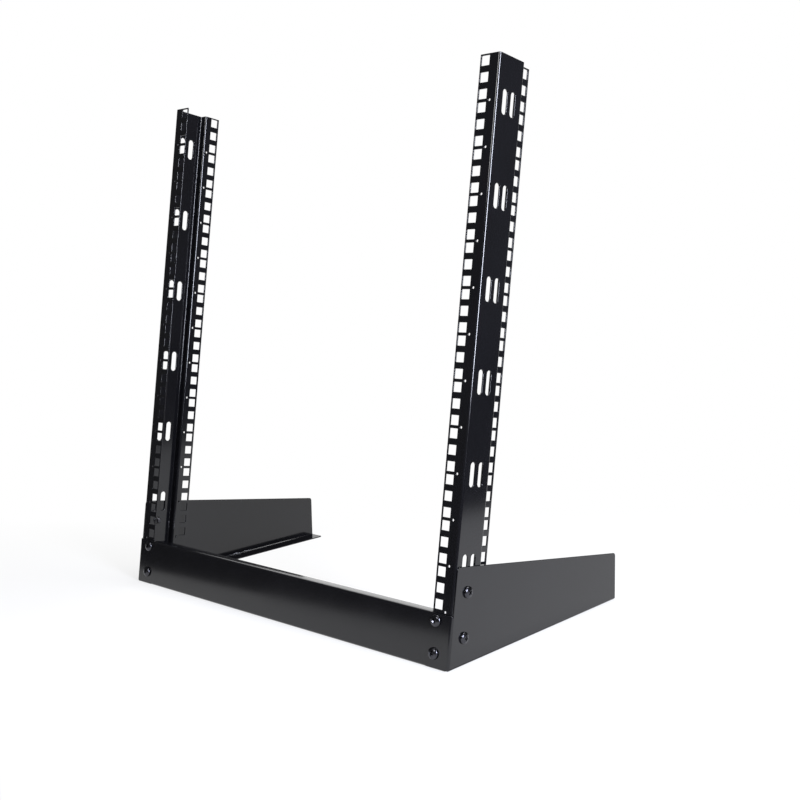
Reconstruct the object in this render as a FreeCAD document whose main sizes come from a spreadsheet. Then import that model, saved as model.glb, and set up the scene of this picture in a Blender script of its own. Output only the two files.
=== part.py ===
"""Two post open frame rack for nineteen-inch equipment.

Two folded uprights stand on two tapered foot plates and lean back a little. A folded beam ties
their feet together, and eight pan-head screws hold everything.

Post frame: X across, Y back from the front face of the uprights, Z up along them from the lower
end of the first unit. Floor frame: Y back from the beam's lower front edge, Z up from the floor.
The finished part has +Z up, its front towards -Y and its origin on the floor, at its middle.
"""
import math
import os

import FreeCAD
import Part
import Sketcher
from FreeCAD import Rotation, Vector

doc = FreeCAD.newDocument("open_frame_rack")

SIZES = [
    ("rack_units", 12),
    ("unit_pitch", 44.45),
    ("column_spacing", 465.12),
    ("column_to_web", 17.44),
    ("flange_width", 23.7),
    ("post_sheet", 1.5),
    ("bend_inside", 1),
    ("web_depth", 39.7),
    ("jog_offset", 8.9),
    ("post_depth", 59.5),
    ("hole_side", 9.5),
    ("first_hole", 6.35),
    ("hole_step", 15.875),
    ("column_to_rear", 7),
    ("index_hole", 2.4),
    ("index_offset", 8.6),
    ("slot_length", 24),
    ("slot_width", 7),
    ("slot_spacing", 12.7),
    ("slot_line", 19.3),
    ("lean", 9),
    ("beam_sheet", 1.5),
    ("beam_gap", 2),
    ("beam_height", 54),
    ("beam_lip", 15),
    ("lip_setback", 2.4),
    ("end_relief", 0.7),
    ("beam_upper_corner", 2),
    ("beam_lower_corner", 4),
    ("plate_sheet", 1.5),
    ("plate_rise", 45),
    ("front_step", 1.3),
    ("plate_gap", 0.1),
    ("base_depth", 302),
    ("foot_width", 21),
    ("plate_corner", 4),
    ("foot_corner", 3),
    ("post_clearance", 0.5),
    ("beam_screw_drop", 9.5),
    ("beam_screw_spacing", 31.75),
    ("side_screw_rise", 20),
    ("side_screw_spacing", 44.45),
    ("tapped_hole", 6),
    ("clearance_hole", 6.6),
    ("collar_size", 9),
    ("collar_height", 2),
    ("shank", 5.8),
    ("screw_length", 8),
    ("shank_chamfer", 0.7),
    ("head", 12),
    ("head_height", 3.6),
    ("head_round", 2.2),
    ("recess_width", 1.3),
    ("recess_length", 6),
    ("recess_depth", 2),
]

sheet = doc.addObject("Spreadsheet::Sheet", "Sizes")
for row, (alias, size) in enumerate(SIZES, start=1):
    sheet.set(f"A{row}", alias)
    sheet.set(f"B{row}", str(size))
    sheet.setAlias(f"B{row}", alias)
doc.recompute()

# Lengths worked out from the sheet, as expressions
LEAN_COS = "cos(Sizes.lean * 1 deg)"
LEAN_SIN = "sin(Sizes.lean * 1 deg)"
LEAN_TAN = "tan(Sizes.lean * 1 deg)"
BASE_DROP = "(Sizes.beam_gap + Sizes.beam_height)"
POST_TOP = "(Sizes.rack_units * Sizes.unit_pitch)"
HOLE_COLUMN = "(Sizes.column_spacing / 2)"
WEB_OUTSIDE = f"({HOLE_COLUMN} + Sizes.column_to_web)"
JOG_OUTSIDE = f"({WEB_OUTSIDE} - Sizes.jog_offset)"
FLANGE_END = f"({WEB_OUTSIDE} - Sizes.flange_width)"
REAR_COLUMN = "(Sizes.post_depth - Sizes.column_to_rear)"
PLATE_OUTSIDE = f"({WEB_OUTSIDE} + Sizes.plate_sheet)"
BEAM_SCREW_UPPER = "(0 - Sizes.beam_screw_drop)"
BEAM_SCREW_LOWER = "(0 - Sizes.beam_screw_drop - Sizes.beam_screw_spacing)"
SIDE_SCREW_UPPER = "Sizes.side_screw_rise"
SIDE_SCREW_LOWER = "(Sizes.side_screw_rise - Sizes.side_screw_spacing)"
# How far the lower beam screws' heads stand in front of the beam's lower edge, along the floor
HEAD_REACH = (f"(Sizes.head_height * {LEAN_COS} - ({BASE_DROP} + {BEAM_SCREW_LOWER}"
              f" - Sizes.head / 2 + Sizes.head_round) * {LEAN_SIN})")
FRONT_EDGE = f"(0 - (Sizes.base_depth - {HEAD_REACH}) / 2)"

RIGHT, LEFT = 1, -1


def floor_y(y, z):
    """Floor-frame Y of a point of the post frame."""
    return f"((({y}) + Sizes.beam_sheet) * {LEAN_COS} + (({z}) + {BASE_DROP}) * {LEAN_SIN})"


def floor_z(y, z):
    """Floor-frame Z of a point of the post frame."""
    return f"((({z}) + {BASE_DROP}) * {LEAN_COS} - (({y}) + Sizes.beam_sheet) * {LEAN_SIN})"


def value(expression):
    """Number that an expression of the sheet gives now."""
    result = sheet.evalExpression(str(expression))
    return float(getattr(result, "Value", result))


def new_body(name):
    body = doc.addObject("PartDesign::Body", name)
    body.Label = name
    return body


def new_sketch(body, name, plane, offset="0"):
    """Sketch on one of the body's own origin planes, moved along the plane's normal."""
    sketch = body.newObject("Sketcher::SketchObject", name)
    role = f"{plane}_Plane"
    support = next(item for item in body.Origin.OriginFeatures if item.Role == role)
    sketch.AttachmentSupport = [(support, "")]
    sketch.MapMode = "FlatFace"
    sketch.setExpression("AttachmentOffset.Base.z", offset)
    return sketch


def bind(sketch, kind, geometry, expression):
    """Add a dimension to the sketch and bind it to the sheet."""
    index = sketch.addConstraint(Sketcher.Constraint(kind, *geometry, value(expression)))
    sketch.setExpression(f"Constraints[{index}]", str(expression))


def place_point(sketch, geometry, vertex, across, up):
    bind(sketch, "DistanceX", (-1, 1, geometry, vertex), across)
    bind(sketch, "DistanceY", (-1, 1, geometry, vertex), up)


def outline(sketch, corners):
    """Closed outline of straight edges through corners given as pairs of expressions."""
    points = [Vector(value(across), value(up), 0) for across, up in corners]
    first = sketch.GeometryCount
    for start, end in zip(points, points[1:] + points[:1]):
        sketch.addGeometry(Part.LineSegment(start, end))
    last = sketch.GeometryCount - 1
    for line in range(first, last + 1):
        following = line + 1 if line < last else first
        sketch.addConstraint(Sketcher.Constraint("Coincident", line, 2, following, 1))
    for line, (across, up) in enumerate(corners, start=first):
        place_point(sketch, line, 1, across, up)


def rectangle(sketch, across, up, width, height):
    """Rectangle about its centre."""
    low_x, high_x = f"{across} - ({width}) / 2", f"{across} + ({width}) / 2"
    low_y, high_y = f"{up} - ({height}) / 2", f"{up} + ({height}) / 2"
    outline(sketch, [(low_x, low_y), (high_x, low_y), (high_x, high_y), (low_x, high_y)])


def circle(sketch, across, up, diameter):
    centre = Vector(value(across), value(up), 0)
    geometry = sketch.addGeometry(Part.Circle(centre, Vector(0, 0, 1), value(diameter) / 2))
    place_point(sketch, geometry, 3, across, up)
    bind(sketch, "Diameter", (geometry,), diameter)


def upright_slot(sketch, across, up, width, length):
    """Slot with round ends, standing upright about its centre."""
    radius = value(width) / 2
    rise = f"(({length}) - ({width})) / 2"
    ends = []
    for sign, turn in ((1, 0), (-1, math.pi)):
        centre = Vector(value(across), value(up) + sign * value(rise), 0)
        arc = Part.ArcOfCircle(Part.Circle(centre, Vector(0, 0, 1), radius), turn, turn + math.pi)
        ends.append(sketch.addGeometry(arc))
    top, bottom = ends
    sides = []
    for start_arc, end_arc in ((top, bottom), (bottom, top)):
        start = sketch.getPoint(start_arc, 2)
        end = sketch.getPoint(end_arc, 1)
        line = sketch.addGeometry(Part.LineSegment(start, end))
        sides.append((line, start_arc, end_arc))
    for line, start_arc, end_arc in sides:
        sketch.addConstraint(Sketcher.Constraint("Tangent", start_arc, 2, line, 1))
        sketch.addConstraint(Sketcher.Constraint("Tangent", line, 2, end_arc, 1))
    sketch.addConstraint(Sketcher.Constraint("Equal", top, bottom))
    place_point(sketch, top, 3, across, f"{up} + {rise}")
    place_point(sketch, bottom, 3, across, f"{up} - {rise}")
    bind(sketch, "Radius", (top,), f"({width}) / 2")


def outside_corner(sketch, across, up, side, level, radius):
    """What a rounded corner leaves out. side and level are 1 or -1, towards the corner's point."""
    x, y, r = value(across), value(up), value(radius)
    point = Vector(x, y, 0)
    beside = Vector(x - side * r, y, 0)
    along = Vector(x, y - level * r, 0)
    centre = Vector(x - side * r, y - level * r, 0)
    first = sketch.addGeometry(Part.LineSegment(beside, point))
    second = sketch.addGeometry(Part.LineSegment(point, along))
    halfway = centre + Vector(side * r, level * r, 0) * math.sqrt(0.5)
    arc = sketch.addGeometry(Part.Arc(beside, halfway, along))
    starts_beside = sketch.getPoint(arc, 1).distanceToPoint(beside) < r / 2
    sketch.addConstraint(Sketcher.Constraint("Coincident", first, 2, second, 1))
    sketch.addConstraint(Sketcher.Constraint("Coincident", arc, 1 if starts_beside else 2, first, 1))
    sketch.addConstraint(Sketcher.Constraint("Coincident", arc, 2 if starts_beside else 1, second, 2))
    place_point(sketch, first, 1, f"{across} - {side} * ({radius})", up)
    place_point(sketch, second, 1, across, up)
    place_point(sketch, second, 2, across, f"{up} - {level} * ({radius})")
    bind(sketch, "Radius", (arc,), radius)


def pad(body, name, sketch, length, reverse=False, symmetric=False):
    feature = body.newObject("PartDesign::Pad", name)
    feature.Profile = sketch
    feature.setExpression("Length", length)
    feature.Reversed = reverse
    if symmetric:
        feature.SideType = "Symmetric"
    doc.recompute()
    return feature


def pocket(body, name, sketch, length, reverse=False, symmetric=True):
    feature = body.newObject("PartDesign::Pocket", name)
    feature.Profile = sketch
    feature.setExpression("Length", length)
    feature.Reversed = reverse
    if symmetric:
        feature.SideType = "Symmetric"
    doc.recompute()
    return feature


def repeat_upwards(body, name, feature, count, spacing):
    """Repeat a pocket up its sketch's vertical axis."""
    pattern = body.newObject("PartDesign::LinearPattern", name)
    pattern.Originals = [feature]
    pattern.Direction = (feature.Profile[0], ["V_Axis"])
    pattern.Mode = "Spacing"
    pattern.setExpression("Offset", spacing)
    pattern.setExpression("Occurrences", count)
    body.Tip = pattern
    doc.recompute()
    return pattern


def edges_along(feature, axis, places):
    """Names of the straight edges along an axis that pass through places on the other two axes."""
    across = [index for index in range(3) if index != axis]
    wanted = [tuple(value(item) for item in place) for place in places]
    names = []
    for number, edge in enumerate(feature.Shape.Edges, start=1):
        if len(edge.Vertexes) != 2 or edge.Curve.TypeId != "Part::GeomLine":
            continue
        start, end = (vertex.Point for vertex in edge.Vertexes)
        along = abs(end[axis] - start[axis])
        if abs(edge.Length - along) > 1e-4:
            continue
        spot = tuple(start[index] for index in across)
        if any(math.dist(spot, place) < 1e-3 for place in wanted):
            names.append(f"Edge{number}")
    return names


def round_edges(body, name, feature, axis, places, radius):
    fillet = body.newObject("PartDesign::Fillet", name)
    fillet.Base = (feature, edges_along(feature, axis, places))
    fillet.setExpression("Radius", radius)
    doc.recompute()
    return fillet


def round_edge_at(feature, height):
    """Name of the widest circular edge at one height."""
    rings = [(edge.Curve.Radius, number) for number, edge in enumerate(feature.Shape.Edges, start=1)
             if edge.Curve.TypeId == "Part::GeomCircle"
             and abs(edge.Curve.Center.z - value(height)) < 1e-4]
    return [f"Edge{max(rings)[1]}"]


def lean_back(body):
    """Put a body that is drawn in the post frame where it stands."""
    body.Placement.Rotation = Rotation(Vector(-1, 0, 0), value("Sizes.lean"))
    body.setExpression("Placement.Rotation.Angle", "Sizes.lean * 1 deg")
    body.setExpression("Placement.Base.y", f"{FRONT_EDGE} + {floor_y('0', '0')}")
    body.setExpression("Placement.Base.z", floor_z("0", "0"))


def make_post(name, side):
    """Folded upright. side is RIGHT or LEFT, and the two are mirror images."""
    body = new_body(name)
    outside = f"{side} * {WEB_OUTSIDE}"
    inside = f"{side} * ({WEB_OUTSIDE} - Sizes.post_sheet)"
    jog_outside = f"{side} * {JOG_OUTSIDE}"
    jog_inside = f"{side} * ({JOG_OUTSIDE} - Sizes.post_sheet)"
    flange_end = f"{side} * {FLANGE_END}"
    column = f"{side} * {HOLE_COLUMN}"
    jog_front = "Sizes.web_depth - Sizes.post_sheet"

    section = new_sketch(body, f"{name}_section", "XY", f"0 - {BASE_DROP}")
    outline(section, [
        (flange_end, "0"), (outside, "0"), (outside, "Sizes.web_depth"),
        (jog_outside, "Sizes.web_depth"), (jog_outside, "Sizes.post_depth"),
        (jog_inside, "Sizes.post_depth"), (jog_inside, jog_front), (inside, jog_front),
        (inside, "Sizes.post_sheet"), (flange_end, "Sizes.post_sheet")])
    blank = pad(body, f"{name}_blank", section, f"{BASE_DROP} + {POST_TOP}")
    outer = round_edges(body, f"{name}_outer_bends", blank, 2,
                        [(outside, "0"), (outside, "Sizes.web_depth"), (jog_inside, jog_front)],
                        "Sizes.bend_inside + Sizes.post_sheet")
    round_edges(body, f"{name}_inner_bends", outer, 2,
                [(inside, "Sizes.post_sheet"), (inside, jog_front), (jog_outside, "Sizes.web_depth")],
                "Sizes.bend_inside")

    # The lower end is cut parallel to the floor, just above the foot flange
    foot = new_sketch(body, f"{name}_foot_line", "YZ")
    lift = "(Sizes.plate_sheet + Sizes.post_clearance)"
    reach = "2 * Sizes.post_depth"
    cut_height = f"({lift} / {LEAN_COS} + Sizes.beam_sheet * {LEAN_TAN} - {BASE_DROP})"
    outline(foot, [
        (f"0 - {reach}", f"{cut_height} - {reach} * {LEAN_TAN}"),
        (reach, f"{cut_height} + {reach} * {LEAN_TAN}"),
        (reach, f"0 - 2 * {BASE_DROP}"), (f"0 - {reach}", f"0 - 2 * {BASE_DROP}")])
    pocket(body, f"{name}_foot_cut", foot, f"4 * {WEB_OUTSIDE}")

    # Square equipment holes, and an index hole at the lower end of each unit
    front = new_sketch(body, f"{name}_front_unit", "XZ")
    for step in range(3):
        rectangle(front, column, f"Sizes.first_hole + {step} * Sizes.hole_step",
                  "Sizes.hole_side", "Sizes.hole_side")
    circle(front, f"{column} + {side} * Sizes.index_offset", "0", "Sizes.index_hole")
    front_cut = pocket(body, f"{name}_front_holes", front, "4 * Sizes.post_sheet")
    repeat_upwards(body, f"{name}_front_column", front_cut, "Sizes.rack_units", "Sizes.unit_pitch")

    rear = new_sketch(body, f"{name}_rear_unit", "YZ", jog_outside)
    for step in range(3):
        rectangle(rear, REAR_COLUMN, f"Sizes.first_hole + {step} * Sizes.hole_step",
                  "Sizes.hole_side", "Sizes.hole_side")
    circle(rear, f"{REAR_COLUMN} - Sizes.index_offset", "0", "Sizes.index_hole")
    rear_cut = pocket(body, f"{name}_rear_holes", rear, "4 * Sizes.post_sheet")
    repeat_upwards(body, f"{name}_rear_column", rear_cut, "Sizes.rack_units", "Sizes.unit_pitch")

    # A pair of upright slots in the web at every second unit
    slots = new_sketch(body, f"{name}_slot_pair", "YZ", outside)
    for offset in ("- Sizes.slot_spacing / 2", "+ Sizes.slot_spacing / 2"):
        upright_slot(slots, f"Sizes.slot_line {offset}", "Sizes.unit_pitch",
                     "Sizes.slot_width", "Sizes.slot_length")
    slot_cut = pocket(body, f"{name}_slots", slots, "4 * Sizes.post_sheet")
    repeat_upwards(body, f"{name}_slot_column", slot_cut, "floor(Sizes.rack_units / 2)",
                   "2 * Sizes.unit_pitch")

    # Drawn collars carry the threads of the screws
    beam_collars = new_sketch(body, f"{name}_beam_collars", "XZ", "0 - Sizes.post_sheet")
    side_collars = new_sketch(body, f"{name}_side_collars", "YZ", inside)
    for height in (BEAM_SCREW_UPPER, BEAM_SCREW_LOWER):
        circle(beam_collars, column, height, "Sizes.collar_size")
    for height in (SIDE_SCREW_UPPER, SIDE_SCREW_LOWER):
        circle(side_collars, "Sizes.slot_line", height, "Sizes.collar_size")
    pad(body, f"{name}_beam_collar_pads", beam_collars, "Sizes.collar_height", reverse=True)
    pad(body, f"{name}_side_collar_pads", side_collars, "Sizes.collar_height",
        reverse=side == RIGHT)
    beam_threads = new_sketch(body, f"{name}_beam_threads", "XZ")
    side_threads = new_sketch(body, f"{name}_side_threads", "YZ", outside)
    for height in (BEAM_SCREW_UPPER, BEAM_SCREW_LOWER):
        circle(beam_threads, column, height, "Sizes.tapped_hole")
    for height in (SIDE_SCREW_UPPER, SIDE_SCREW_LOWER):
        circle(side_threads, "Sizes.slot_line", height, "Sizes.tapped_hole")
    deep = "4 * (Sizes.post_sheet + Sizes.collar_height)"
    pocket(body, f"{name}_beam_thread_holes", beam_threads, deep)
    pocket(body, f"{name}_side_thread_holes", side_threads, deep)
    lean_back(body)
    return body


def make_beam(name):
    """Folded beam: an upper lip, a lower lip that lies on the floor, and a short return at each end."""
    body = new_body(name)
    gap, thick, lip = "Sizes.beam_gap", "Sizes.beam_sheet", "Sizes.beam_lip"
    bottom = f"(0 - {BASE_DROP})"
    lip_span = f"2 * ({FLANGE_END} - Sizes.lip_setback)"
    section = new_sketch(body, f"{name}_section", "YZ")
    inner_corner = f"{bottom} + {thick} * (1 / {LEAN_COS} + {LEAN_TAN})"
    outline(section, [
        (f"0 - {thick}", f"0 - {gap}"), (f"{lip} - {thick}", f"0 - {gap}"),
        (f"{lip} - {thick}", f"0 - {gap} - {thick}"), ("0", f"0 - {gap} - {thick}"),
        ("0", inner_corner),
        (f"{lip} * {LEAN_COS} - {thick} * (1 + {LEAN_SIN})",
         f"{bottom} + {lip} * {LEAN_SIN} + {thick} * {LEAN_COS}"),
        (f"{lip} * {LEAN_COS} - {thick}", f"{bottom} + {lip} * {LEAN_SIN}"),
        (f"0 - {thick}", bottom)])
    channel = pad(body, f"{name}_channel", section, lip_span, symmetric=True)
    outer = round_edges(body, f"{name}_lip_outer_bends", channel, 0,
                        [(f"0 - {thick}", f"0 - {gap}"), (f"0 - {thick}", bottom)],
                        f"Sizes.bend_inside + {thick}")
    round_edges(body, f"{name}_lip_inner_bends", outer, 0,
                [("0", f"0 - {gap} - {thick}"), ("0", inner_corner)], "Sizes.bend_inside")

    # The end plates stop a little above the floor, where the returns would dip below it
    ends = new_sketch(body, f"{name}_ends", "XY", f"{bottom} + Sizes.end_relief")
    return_depth = "Sizes.front_step - Sizes.plate_gap"
    for side in (RIGHT, LEFT):
        outside = f"{side} * {PLATE_OUTSIDE}"
        inside = f"{side} * ({PLATE_OUTSIDE} - {thick})"
        start = f"{side} * ({lip_span}) / 2"
        outline(ends, [(start, f"0 - {thick}"), (outside, f"0 - {thick}"), (outside, return_depth),
                       (inside, return_depth), (inside, "0"), (start, "0")])
    end_pads = pad(body, f"{name}_end_plates", ends, "Sizes.beam_height - Sizes.end_relief")
    corners = [(f"{side} * {PLATE_OUTSIDE}", f"0 - {thick}") for side in (RIGHT, LEFT)]
    inner_corners = [(f"{side} * ({PLATE_OUTSIDE} - {thick})", "0") for side in (RIGHT, LEFT)]
    bends = round_edges(body, f"{name}_end_outer_bends", end_pads, 2, corners,
                        f"Sizes.bend_inside + {thick}")
    round_edges(body, f"{name}_end_inner_bends", bends, 2, inner_corners, "Sizes.bend_inside")
    corner_cuts = new_sketch(body, f"{name}_corner_shapes", "XZ")
    for side in (RIGHT, LEFT):
        outside = f"{side} * {PLATE_OUTSIDE}"
        outside_corner(corner_cuts, outside, f"0 - {gap}", side, 1, "Sizes.beam_upper_corner")
        outside_corner(corner_cuts, outside, f"{bottom} + Sizes.end_relief", side, -1,
                       "Sizes.beam_lower_corner")
    pocket(body, f"{name}_corner_cuts", corner_cuts, f"8 * {thick}")

    holes = new_sketch(body, f"{name}_screw_holes", "XZ")
    for side in (RIGHT, LEFT):
        for height in (BEAM_SCREW_UPPER, BEAM_SCREW_LOWER):
            circle(holes, f"{side} * {HOLE_COLUMN}", height, "Sizes.clearance_hole")
    pocket(body, f"{name}_holes", holes, f"4 * {thick}")
    lean_back(body)
    return body


def make_side_plate(name, side):
    """Tapered plate in the floor frame. Its front and top edges follow the leaning post."""
    body = new_body(name)
    thick = "Sizes.plate_sheet"
    outside = f"{side} * {PLATE_OUTSIDE}"
    inside = f"{side} * ({PLATE_OUTSIDE} - {thick})"
    step = "(Sizes.front_step + Sizes.beam_sheet)"
    rise = f"(Sizes.plate_rise + {BASE_DROP})"
    front_foot = f"{step} / {LEAN_COS}"
    rear_top = f"{rise} / {LEAN_COS} - Sizes.base_depth * {LEAN_TAN}"
    front_top = (floor_y("Sizes.front_step", "Sizes.plate_rise"),
                 floor_z("Sizes.front_step", "Sizes.plate_rise"))
    shape = new_sketch(body, f"{name}_shape", "YZ", outside)
    outline(shape, [(front_foot, "0"), ("Sizes.base_depth", "0"), ("Sizes.base_depth", rear_top),
                    front_top])
    wall = pad(body, f"{name}_wall", shape, thick, reverse=side == RIGHT)
    corners = round_edges(body, f"{name}_corners", wall, 0,
                          [("Sizes.base_depth", rear_top), front_top], "Sizes.plate_corner")

    foot = new_sketch(body, f"{name}_foot", "XY")
    foot_edge = f"{side} * ({PLATE_OUTSIDE} - Sizes.foot_width)"
    outline(foot, [(outside, front_foot), (foot_edge, front_foot),
                   (foot_edge, "Sizes.base_depth"), (outside, "Sizes.base_depth")])
    flange = pad(body, f"{name}_foot_flange", foot, thick)
    tips = round_edges(body, f"{name}_foot_corners", flange, 2,
                       [(foot_edge, front_foot), (foot_edge, "Sizes.base_depth")],
                       "Sizes.foot_corner")
    outer = round_edges(body, f"{name}_outer_bend", tips, 1, [(outside, "0")],
                        f"Sizes.bend_inside + {thick}")
    round_edges(body, f"{name}_inner_bend", outer, 1, [(inside, thick)], "Sizes.bend_inside")

    holes = new_sketch(body, f"{name}_screw_holes", "YZ", outside)
    for height in (SIDE_SCREW_UPPER, SIDE_SCREW_LOWER):
        circle(holes, floor_y("Sizes.slot_line", height), floor_z("Sizes.slot_line", height),
               "Sizes.clearance_hole")
    pocket(body, f"{name}_holes", holes, f"4 * {thick}")
    body.setExpression("Placement.Base.y", FRONT_EDGE)
    return body


def make_screw(name):
    """Pan-head screw with a cross recess, head upwards, with its seat at Z = 0."""
    body = new_body(name)
    shank = new_sketch(body, f"{name}_shank_circle", "XY")
    circle(shank, "0", "0", "Sizes.shank")
    shank_pad = pad(body, f"{name}_shank", shank, "Sizes.screw_length", reverse=True)
    tip = body.newObject("PartDesign::Chamfer", f"{name}_tip")
    tip.Base = (shank_pad, round_edge_at(shank_pad, "0 - Sizes.screw_length"))
    tip.setExpression("Size", "Sizes.shank_chamfer")
    doc.recompute()
    head = new_sketch(body, f"{name}_head_circle", "XY")
    circle(head, "0", "0", "Sizes.head")
    head_pad = pad(body, f"{name}_head", head, "Sizes.head_height")
    dome = body.newObject("PartDesign::Fillet", f"{name}_head_round")
    dome.Base = (head_pad, round_edge_at(head_pad, "Sizes.head_height"))
    dome.setExpression("Radius", "Sizes.head_round")
    doc.recompute()
    cross = new_sketch(body, f"{name}_cross", "XY", "Sizes.head_height")
    arm, half = "Sizes.recess_length / 2", "Sizes.recess_width / 2"
    quarter = [(arm, f"0 - {half}"), (arm, half), (half, half)]
    corners = []
    for turn in range(4):
        for across, up in quarter:
            turned = [(across, up), (f"0 - ({up})", across),
                      (f"0 - ({across})", f"0 - ({up})"), (up, f"0 - ({across})")]
            corners.append(turned[turn])
    outline(cross, corners)
    pocket(body, f"{name}_recess", cross, "Sizes.recess_depth", symmetric=False)
    return body


def place_beam_screw(body, side, height):
    """Stand the screw's head on the front face of the beam."""
    body.Placement.Rotation = Rotation(Vector(1, 0, 0), 90 - value("Sizes.lean"))
    body.setExpression("Placement.Rotation.Angle", "(90 - Sizes.lean) * 1 deg")
    body.setExpression("Placement.Base.x", f"{side} * {HOLE_COLUMN}")
    seat = "0 - Sizes.beam_sheet"
    body.setExpression("Placement.Base.y", f"{FRONT_EDGE} + {floor_y(seat, height)}")
    body.setExpression("Placement.Base.z", floor_z(seat, height))


def place_side_screw(body, side, height):
    """Stand the screw's head on the outer face of a side plate."""
    body.Placement.Rotation = Rotation(Vector(0, 1, 0), side * 90)
    body.setExpression("Placement.Base.x", f"{side} * {PLATE_OUTSIDE}")
    body.setExpression("Placement.Base.y", f"{FRONT_EDGE} + {floor_y('Sizes.slot_line', height)}")
    body.setExpression("Placement.Base.z", floor_z("Sizes.slot_line", height))


pieces = [make_beam("front_beam")]
for side_name, side in (("right", RIGHT), ("left", LEFT)):
    pieces.append(make_post(f"{side_name}_post", side))
    pieces.append(make_side_plate(f"{side_name}_side_plate", side))
    for level, height in (("upper", BEAM_SCREW_UPPER), ("lower", BEAM_SCREW_LOWER)):
        screw = make_screw(f"beam_screw_{side_name}_{level}")
        place_beam_screw(screw, side, height)
        pieces.append(screw)
    for level, height in (("upper", SIDE_SCREW_UPPER), ("lower", SIDE_SCREW_LOWER)):
        screw = make_screw(f"side_screw_{side_name}_{level}")
        place_side_screw(screw, side, height)
        pieces.append(screw)
doc.recompute()

for item in doc.Objects:
    if "Invalid" in item.State or "Error" in item.State:
        raise RuntimeError(f"{item.Name} failed: {item.State}")

os.makedirs("parts", exist_ok=True)
for piece in pieces:
    if piece.Shape.isNull() or not piece.Shape.isValid() or len(piece.Shape.Solids) != 1:
        raise RuntimeError(f"{piece.Label} is not one valid solid")
    piece.Shape.exportStep(f"parts/{piece.Label}.step")
    box = piece.Shape.BoundBox
    print(f"{piece.Label}: volume {piece.Shape.Volume:.1f}, X {box.XMin:.2f} {box.XMax:.2f},"
          f" Y {box.YMin:.2f} {box.YMax:.2f}, Z {box.ZMin:.2f} {box.ZMax:.2f}")
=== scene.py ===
"""Looks of a two post open frame rack for nineteen-inch equipment, made around its CAD model.

All lengths are in metres. Floor frame: +Z up, front towards -Y, origin on the floor.
Post frame: X across, Y back from the front face of the uprights, Z up along them from the lower end
of the first unit. The uprights and the screws are made in the post frame and leaned back.
"""
import math

import bmesh
import bpy
from bpy.props import FloatProperty, FloatVectorProperty, IntProperty, PointerProperty
from mathutils import Matrix, Vector


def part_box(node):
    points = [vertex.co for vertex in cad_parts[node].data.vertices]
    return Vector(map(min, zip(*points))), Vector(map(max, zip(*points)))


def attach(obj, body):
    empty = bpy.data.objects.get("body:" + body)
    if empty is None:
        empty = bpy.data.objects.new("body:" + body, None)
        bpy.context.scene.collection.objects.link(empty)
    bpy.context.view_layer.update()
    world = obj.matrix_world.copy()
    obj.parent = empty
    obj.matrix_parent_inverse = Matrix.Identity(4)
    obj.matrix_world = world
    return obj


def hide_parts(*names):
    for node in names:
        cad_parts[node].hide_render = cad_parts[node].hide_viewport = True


bl_info = {
    "name": "Open frame rack",
    "version": (1, 0, 0),
    "blender": (4, 5, 0),
    "location": "View3D > Sidebar > Rack",
    "description": "Builds the visible pieces, finishes and stage of a two post open frame rack",
    "category": "Object",
}

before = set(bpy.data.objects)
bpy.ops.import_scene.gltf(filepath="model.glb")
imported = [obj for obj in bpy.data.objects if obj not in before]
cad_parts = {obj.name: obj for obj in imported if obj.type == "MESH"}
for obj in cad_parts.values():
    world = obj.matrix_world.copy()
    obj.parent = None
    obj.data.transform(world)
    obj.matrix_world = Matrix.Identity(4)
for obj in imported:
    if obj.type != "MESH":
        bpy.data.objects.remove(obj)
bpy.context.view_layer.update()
SENSOR = 36
MM = 0.001
COAT_SLOT = "powder_coat"
SCREW_SLOT = "zinc_screw"
QUARTER = math.pi / 2

# Rims that turn more than SHARP are rounded, and screw edges that turn more than CREASE stay hard.
# Faces that turn less than FLAT are made one, and so are corners nearer to each other than WELD.
SHARP = math.radians(50)
CREASE = math.radians(40)
FLAT = math.radians(1)
WELD = 1e-6

# How far from its line a corner may lie and still count as on it
LIP_REACH = 0.02 * MM
BEND_REACH = 0.1 * MM

# Sizes of the blotches and dimples in the finishes, and how rough the finishes are
PEEL_SIZE = 1.6 * MM
DRIFT_SIZE = 60 * MM
FILM_SIZE = 2 * MM
COAT_ROUGHNESS = (0.11, 0.15)
ZINC_ROUGHNESS = (0.2, 0.3)

# Soft boxes: where each stands, which point it faces, and how large it is
KEY_BOX = {"place": (1.3, -0.36, 0.66), "aim": (0.1, -0.05, 0.6), "width": 0.32, "height": 0.68}
FRONT_BOX = {"place": (0.2, -1.3, 1.15), "aim": (0.0, -0.1, 0.1), "width": 0.5, "height": 0.5}
TOP_BOX = {"place": (0.2, 0.55, 1.9), "aim": (0.0, 0.0, 0.0), "width": 1.2, "height": 1.2}

# Edges of the white paper, from where it starts to fade to where it has gone. The first two are
# slopes, the distance aside over the distance away. The third is a distance from the camera.
# Beyond these edges the floor takes the studio grey, a painted shade for floor that the lamps leave
# unlit.
PAPER_RIGHT = (0.57, 0.66)
PAPER_LEFT = (-0.385, -0.42)
PAPER_NEAR = (0.7, 0.6)
NEAREST_AWAY = 0.05

# Near the rack this share of the paper is an even white, and the rest takes the rack's shadow.
# Between the two distances from the camera the share rises to 1, and the shadow goes.
EVEN_WHITE = 0.65
SHADOW_FADE = (1.25, 1.7)


def linear(code):
    """Linear colour of an sRGB hex value."""
    parts = [int(code[place:place + 2], 16) / 255 for place in (1, 3, 5)]
    return [part / 12.92 if part <= 0.04045 else ((part + 0.055) / 1.055) ** 2.4 for part in parts]


def length(name, about, size):
    """A size given in millimetres."""
    return FloatProperty(name=name, description=about, default=size * MM, unit="LENGTH", precision=5)


def angle(name, about, degrees):
    return FloatProperty(name=name, description=about, default=math.radians(degrees), unit="ROTATION")


def colour(name, about, code):
    return FloatVectorProperty(name=name, description=about, default=linear(code), subtype="COLOR",
                               min=0, max=1)


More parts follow.
